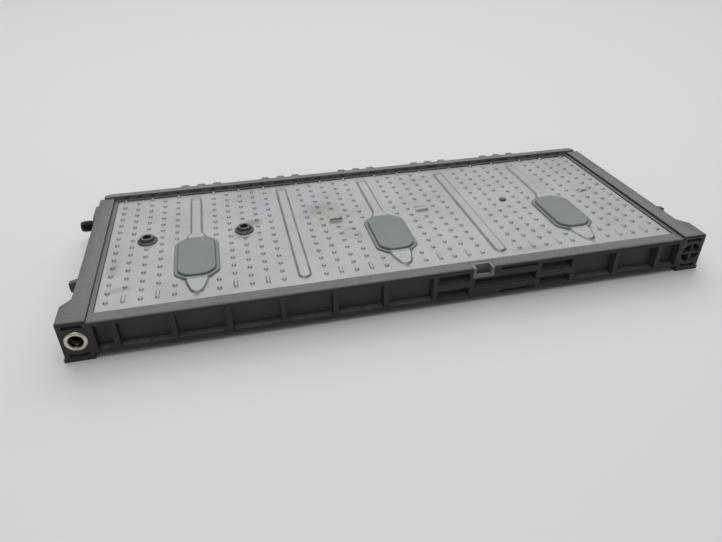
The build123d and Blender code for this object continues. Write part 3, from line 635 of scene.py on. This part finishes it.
def makePad(name, node, material):
    # rings of a rounded octagon: r(a) = (sum over sides of (n.d / h)^p)^(-1/p), h each side's distance
    s = padShape
    low, high = boxMm(node)
    up = 1 if low[2] > plateHigh[2] / 2 else -1
    baseZ = low[2] if up > 0 else high[2]
    half = (high[:2] - low[:2]) / 2
    centre = (high[:2] + low[:2]) / 2
    angle = np.linspace(0, 2 * np.pi, s["steps"], endpoint=False)
    ray = np.stack([np.cos(angle), np.sin(angle)], -1)
    sideAngle = np.arange(8) * np.pi / 4
    sideNormals = np.stack([np.cos(sideAngle), np.sin(sideAngle)], -1)
    slant = (half[0] + half[1] - s["corner"]) / math.sqrt(2)
    reach = np.array([half[0], slant, half[1], slant] * 2)
    rings = []
    for inset, height in s["profile"]:
        h = np.maximum(reach - inset, s["leastReach"])
        power = s["roundness"]
        radius = (np.clip(ray @ sideNormals.T / h, 0, None) ** power).sum(1) ** (-1 / power)
        level = np.full(len(angle), baseZ + up * height)
        rings.append(np.column_stack([centre + ray * radius[:, None], level]))
    count = len(angle)
    last = (len(rings) - 1) * count
    faces = gridFaces(len(rings), count, wrap=True).tolist()
    faces += [list(range(count - 1, -1, -1)), list(range(last, last + count))]
    if up < 0:
        faces = [face[::-1] for face in faces]
    piece = meshFrom(name, np.concatenate(rings), faces, sharpDegrees=60)
    inset = np.repeat([ring[0] for ring in s["profile"]], count)
    # painted shade in the groove round the raised middle
    setPaintedShade(piece, s["paintedShade"] * softBand(inset - s["paintedShadeInset"], s["paintedShadeSpread"]))
    return finishPiece(piece, material, node)


# turned pieces: each profile is a list of (radius, distance along the axis), in mm; its thread starts
# after the point of that number, and what lies nearer to the axis than the profile's shade radius gets
# painted shade, dark down the hole

turnedShape = {
    "steps": 48, "sharpDegrees": 35, "threadRings": 8, "mergeMm": 0.001, "paintedShade": 0.9, "paintedShadeFade": 0.35,
}
spacerShape = {  # a moulded foot with a raised collar round a blind hole
    "profile": [(0, 0.6), (1.6, 0.6), (1.75, 0.75), (1.75, 2.0), (1.85, 2.2), (2.05, 2.3), (2.75, 2.3),
                (2.98, 2.22), (3.15, 2.0), (3.3, 1.5), (3.55, 1.0), (3.95, 0.7), (4.5, 0.55), (4.65, 0.4),
                (4.65, 0.0), (0, 0.0)],
    "paintedShadeRadius": 2.0,
}
buttonShape = {  # a low round button with a crowned face
    "profile": [(0, 0), (1.8, 0), (1.8, 0.4), (1.7, 0.65), (1.45, 0.82), (1.0, 0.9), (0, 0.9)],
}
insertShape = {  # a rolled brass bushing, threaded 6 mm by 1 mm, 7 mm long
    "profile": [(0, 6.0), (2.5, 6.0), (2.5, 0.95), (2.62, 0.6), (2.85, 0.28), (3.2, 0.06), (3.6, 0.0),
                (4.0, 0.08), (4.32, 0.3), (4.52, 0.62), (4.6, 1.0), (4.6, 7.0), (0, 7.0)],
    "thread": {"after": 1, "pitch": 1.0, "depth": 0.45}, "paintedShadeRadius": 3.1, "steps": 64,
}
studShape = {  # a flanged shank, an undercut at the collar and a thread of 6 mm by 1 mm
    "profile": [(0, 0), (4.4, 0), (4.4, 1.2), (3.3, 1.2), (3.3, 9.0), (2.5, 9.0), (2.5, 9.4), (2.55, 9.45),
                (2.55, 15.55), (2.2, 15.92), (2.0, 16.0), (0, 16.0)],
    "thread": {"after": 7, "pitch": 1.0, "depth": 0.45},
}
collarShape = {  # a plated washer with a rounded outer rim
    "profile": [(3.35, 0), (6.0, 0), (6.0, 1.95), (5.85, 2.3), (5.5, 2.52), (5.0, 2.6), (4.1, 2.6),
                (3.8, 2.5), (3.6, 2.3), (3.35, 2.25), (3.35, 0)],
    "steps": 64,
}
ventCapShape = {  # a flat cap with a bore
    "profile": [(0.9, 0), (4.2, 0), (4.2, 0.9), (4.05, 1.05), (3.8, 1.1), (1.2, 1.1), (1.0, 1.0),
                (0.9, 0.8), (0.9, 0)],
}


def threaded(along, radius, angle, thread):
    # the profile with rings of a thread put in, each radius core + depth * |2 frac(along / pitch
    # - angle / 2 pi) - 1|, fading in and out over one pitch
    at = thread["after"]
    pitch = thread["pitch"]
    count = int(abs(along[at + 1] - along[at]) / pitch * turnedShape["threadRings"])
    inner = np.linspace(along[at], along[at + 1], count + 2)[1:-1]
    phase = (inner[:, None] / pitch - angle / (2 * np.pi)) % 1
    toEnd = np.minimum(inner - inner.min(), inner.max() - inner)
    fade = np.clip(toEnd / pitch, 0, 1)[:, None]
    cut = radius[at, 0] + thread["depth"] * np.abs(2 * phase - 1) * fade
    return (np.concatenate([along[:at + 1], inner, along[at + 1:]]),
            np.concatenate([radius[:at + 1], cut, radius[at + 1:]]))


def turned(name, shape, seat, axis):
    # points seat + radius * (cos(a) across + sin(a) other) + along * axis, for each profile point and a
    steps = shape.get("steps", turnedShape["steps"])
    axis = np.asarray(axis, float)
    across = np.array([1.0, 0, 0]) if axis[2] else np.cross(axis, (0, 0, 1.0))
    other = np.cross(axis, across)
    angle = np.linspace(0, 2 * np.pi, steps, endpoint=False)
    ray = np.cos(angle)[:, None] * across + np.sin(angle)[:, None] * other
    profile = np.array(shape["profile"], float)
    along = profile[:, 1]
    radius = profile[:, :1] * np.ones(steps)
    if "thread" in shape:
        along, radius = threaded(along, radius, angle, shape["thread"])
    points = seat + radius[:, :, None] * ray + along[:, None, None] * axis
    piece = meshFrom(name, points.reshape(-1, 3), gridFaces(len(along), steps, wrap=True).tolist())
    work = bmesh.new()  # closes the poles and the seam of the profile, and turns the faces outwards
    work.from_mesh(piece.data)
    bmesh.ops.remove_doubles(work, verts=work.verts, dist=turnedShape["mergeMm"] * mm)
    bmesh.ops.recalc_face_normals(work, faces=work.faces)
    work.to_mesh(piece.data)
    work.free()
    piece.data.set_sharp_from_angle(angle=math.radians(turnedShape["sharpDegrees"]))
    # painted shade near the axis, down the spacers' holes and the insert's bore
    if "paintedShadeRadius" in shape:
        spots = np.empty(len(piece.data.vertices) * 3)
        piece.data.vertices.foreach_get("co", spots)
        away = np.linalg.norm(np.cross(spots.reshape(-1, 3) / mm - seat, axis), axis=1)
        inside = np.clip((shape["paintedShadeRadius"] - away) / turnedShape["paintedShadeFade"], 0, 1)
        setPaintedShade(piece, turnedShape["paintedShade"] * inside)
    return piece


def makeTurned(name, node, shape, axis, material):
    # seated at the middle of the node's face that lies back along the axis
    low, high = boxMm(node)
    axis = np.asarray(axis, float)
    seat = (low + high) / 2 - axis * np.abs(axis @ (high - low)) / 2
    return finishPiece(turned(name, shape, seat, axis), material, node)


# mouldings

mouldingShape = {
    "bevelSegments": 2, "bevelDegrees": 30, "sharpDegrees": 60, "mergeMm": 0.0005, "flatDegrees": 0.5,
    "rimSegments": 4, "rimShare": 0.9, "rimNearMm": 0.01,
    "caseEdge": 0.35, "lidEdge": 0.25, "lidRim": 0.7, "clipEdge": 0.15,
}


def roundRim(work, node, rim):
    # rounds the edges on the node's front half that run nearly its whole length, level with its top
    # or its underside
    s = mouldingShape
    low, high = (np.array(corner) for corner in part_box(node))
    middleY = (low[1] + high[1]) / 2
    near = s["rimNearMm"] * mm
    rimEdges = [edge for edge in work.edges
                if edge.calc_length() > s["rimShare"] * (high[0] - low[0])
                and min(abs(edge.verts[0].co.z - low[2]), abs(edge.verts[0].co.z - high[2])) < near
                and max(vert.co.y for vert in edge.verts) < middleY]
    bmesh.ops.bevel(work, geom=rimEdges, offset=rim * mm, segments=s["rimSegments"], profile=0.5,
                    affect="EDGES")
    print("long edges rounded on", node + ":", len(rimEdges))


def softEdged(name, node, material, width, rim=0):
    # a merged copy of the moulding with its edges rounded by a small radius, and the long edges of
    # its front side by a larger one, rim
    s = mouldingShape
    mesh = nodes[node].data.copy()
    mesh.name = name
    piece = newObject(name, mesh)
    work = bmesh.new()
    work.from_mesh(mesh)
    bmesh.ops.remove_doubles(work, verts=work.verts, dist=s["mergeMm"] * mm)
    bmesh.ops.dissolve_limit(work, angle_limit=math.radians(s["flatDegrees"]), verts=work.verts,
                             edges=work.edges)
    if rim:
        roundRim(work, node, rim)
    work.to_mesh(mesh)
    work.free()
    bevel = piece.modifiers.new("edges", "BEVEL")
    bevel.width = width * mm
    bevel.segments = s["bevelSegments"]
    bevel.limit_method = "ANGLE"
    bevel.angle_limit = math.radians(s["bevelDegrees"])
    bevel.use_clamp_overlap = True
    bevel.harden_normals = False
    mesh.polygons.foreach_set("use_smooth", np.ones(len(mesh.polygons), dtype=bool))
    mesh.set_sharp_from_angle(angle=math.radians(s["sharpDegrees"]))
    return finishPiece(piece, material, node)


# build

caseResin = resinMaterial("glassFilledResin")
# the lid's resin, painted lighter as a painted sheen
lidResinPaintedSheen = resinMaterial("glassFilledResinPaintedSheen")
padResin = resinMaterial("paleGreyResin")
spacerResin = resinMaterial("darkResin")
clipNylon = resinMaterial("greyNylon")
ventResin = resinMaterial("blackResin")
rubber = resinMaterial("nitrileRubber")
packFleece = resinMaterial("separatorFleece")
insertMetal = metalMaterial("nickelPlatedBrass")
collarMetal = metalMaterial("nickelPlatedSteel")
studMetal = metalMaterial("darkGreySteel")
nickelSheet = metalMaterial("rolledNickel")
plateMetal = plateMaterial("stampedAluminium", plateLow[1])
print("materials made")

makePlate("plateTopSheet", "plate_top", plateMetal)
makePlate("plateBottomSheet", "plate_bottom", plateMetal)
print("side plates made")

for side in ("top", "bottom"):
    for place in ("left", "middle", "right"):
        makePad(f"pad{side.title()}{place.title()}", f"pad_{side}_{place}", padResin)
print("pads made")

softEdged("caseMoulding", "case_frame", caseResin, mouldingShape["caseEdge"])
softEdged("lidMoulding", "lid", lidResinPaintedSheen, mouldingShape["lidEdge"], mouldingShape["lidRim"])
softEdged("sensorClipMoulding", "sensor_clip", clipNylon, mouldingShape["clipEdge"])
print("mouldings made")

for side, up in (("top", 1), ("bottom", -1)):
    for number in (1, 2):
        makeTurned(f"spacer{side.title()}{number}", f"spacer_{side}_{number}", spacerShape, (0, 0, up),
                   spacerResin)
    makeTurned(f"button{side.title()}", f"button_{side}", buttonShape, (0, 0, up), spacerResin)
for place, out in (("left", -1), ("right", 1)):
    makeTurned(f"stud{place.title()}", f"terminal_stud_{place}", studShape, (out, 0, 0), studMetal)
    makeTurned(f"collar{place.title()}", f"terminal_collar_{place}", collarShape, (out, 0, 0),
               collarMetal)
makeTurned("insertBushing", "mount_insert", insertShape, (0, 1, 0), insertMetal)
makeTurned("ventCap", "vent_cap", ventCapShape, (0, 1, 0), ventResin)
print("turned pieces made")

slotMaterials = {
    "spacer_resin": spacerResin, "insert_metal": insertMetal, "clip_nylon": clipNylon,
    "stud_steel": studMetal, "collar_metal": collarMetal, "seal_rubber": rubber,
    "electrode_pack": packFleece, "collector_nickel": nickelSheet, "link_nickel": nickelSheet,
    "vent_resin": ventResin, "plate_metal": plateMetal, "pad_resin": padResin,
    "case_resin": caseResin, "lid_resin": lidResinPaintedSheen,
}
for part in frame["record"]["subparts"]:
    node = nodes[part["node"]]
    node.data.materials.clear()
    node.data.materials.append(slotMaterials[part["material_slot"]])
print("inner pieces given their materials")


# floor, lights, camera

studio = {  # metres and watts; the world's colour is linear
    "floor": {"colour": "#e3e0e1", "roughness": 0.55, "half": 6.0, "drop": 0.00002},
    "world": {"colour": (0.93, 0.95, 1.0, 1.0), "strength": 0.3},
    "key": {"place": (0.3, 1.35, 1.2), "size": (3.2, 1.4), "watts": 18.0},
    "top": {"place": (-0.1, -0.05, 1.25), "size": (1.1, 1.1), "watts": 7.0},
}


def makeFloor(colour, roughness, half, drop):
    # a plain painted board, a hair below what stands on it
    mesh = bpy.data.meshes.new("floor")
    mesh.from_pydata([(-half, -half, 0), (half, -half, 0), (half, half, 0), (-half, half, 0)], [],
                     [(0, 1, 2, 3)])
    floor = newObject("floor", mesh)
    material, _, shader = newMaterial("paleFloor")
    shader.inputs["Base Color"].default_value = toLinear(colour)
    shader.inputs["Roughness"].default_value = roughness
    mesh.materials.append(material)
    floor.location.z = cadBox[0][2] - drop


def makeLamp(name, place, size, watts):
    # a soft box that faces the object
    data = bpy.data.lights.new(name, "AREA")
    data.shape = "RECTANGLE"
    data.size, data.size_y = size
    data.energy = watts
    lamp = newObject(name, data)
    lamp.location = place
    lamp.rotation_euler = (-Vector(place)).to_track_quat("-Z", "Y").to_euler()


def makeWorld(colour, strength):
    world = bpy.data.worlds.new("studio")
    bpy.context.scene.world = world
    world.use_nodes = True
    background = world.node_tree.nodes["Background"]
    background.inputs["Color"].default_value = colour
    background.inputs["Strength"].default_value = strength


view = {  # the eye is in mm from the plate's front left corner, the turns are in degrees
    "eye": (60.3, -205.1, 140.4), "heading": 13.184, "tilt": 33.152, "roll": -0.409,
    "focalMm": 29.49, "sensorMm": 36.0, "clipStart": 0.01,
}


def makeCamera():
    data = bpy.data.cameras.new("camera")
    data.lens = view["focalMm"]
    data.sensor_width = view["sensorMm"]
    data.clip_start = view["clipStart"]
    camera = newObject("camera", data)
    corner = np.array([plateLow[0], plateLow[1], plateLow[2] + plateShape["thickness"]])
    turn = (Matrix.Rotation(math.radians(-view["heading"]), 4, "Z")
            @ Matrix.Rotation(math.radians(90 - view["tilt"]), 4, "X")
            @ Matrix.Rotation(math.radians(view["roll"]), 4, "Z"))
    camera.matrix_world = Matrix.Translation(Vector((corner + np.array(view["eye"])) * mm)) @ turn
    bpy.context.scene.camera = camera


makeFloor(**studio["floor"])
makeLamp("keyLamp", **studio["key"])
makeLamp("topLamp", **studio["top"])
makeWorld(**studio["world"])
makeCamera()
bpy.context.scene.view_settings.view_transform = "Standard"
print("stage made")

bpy.context.view_layer.update()
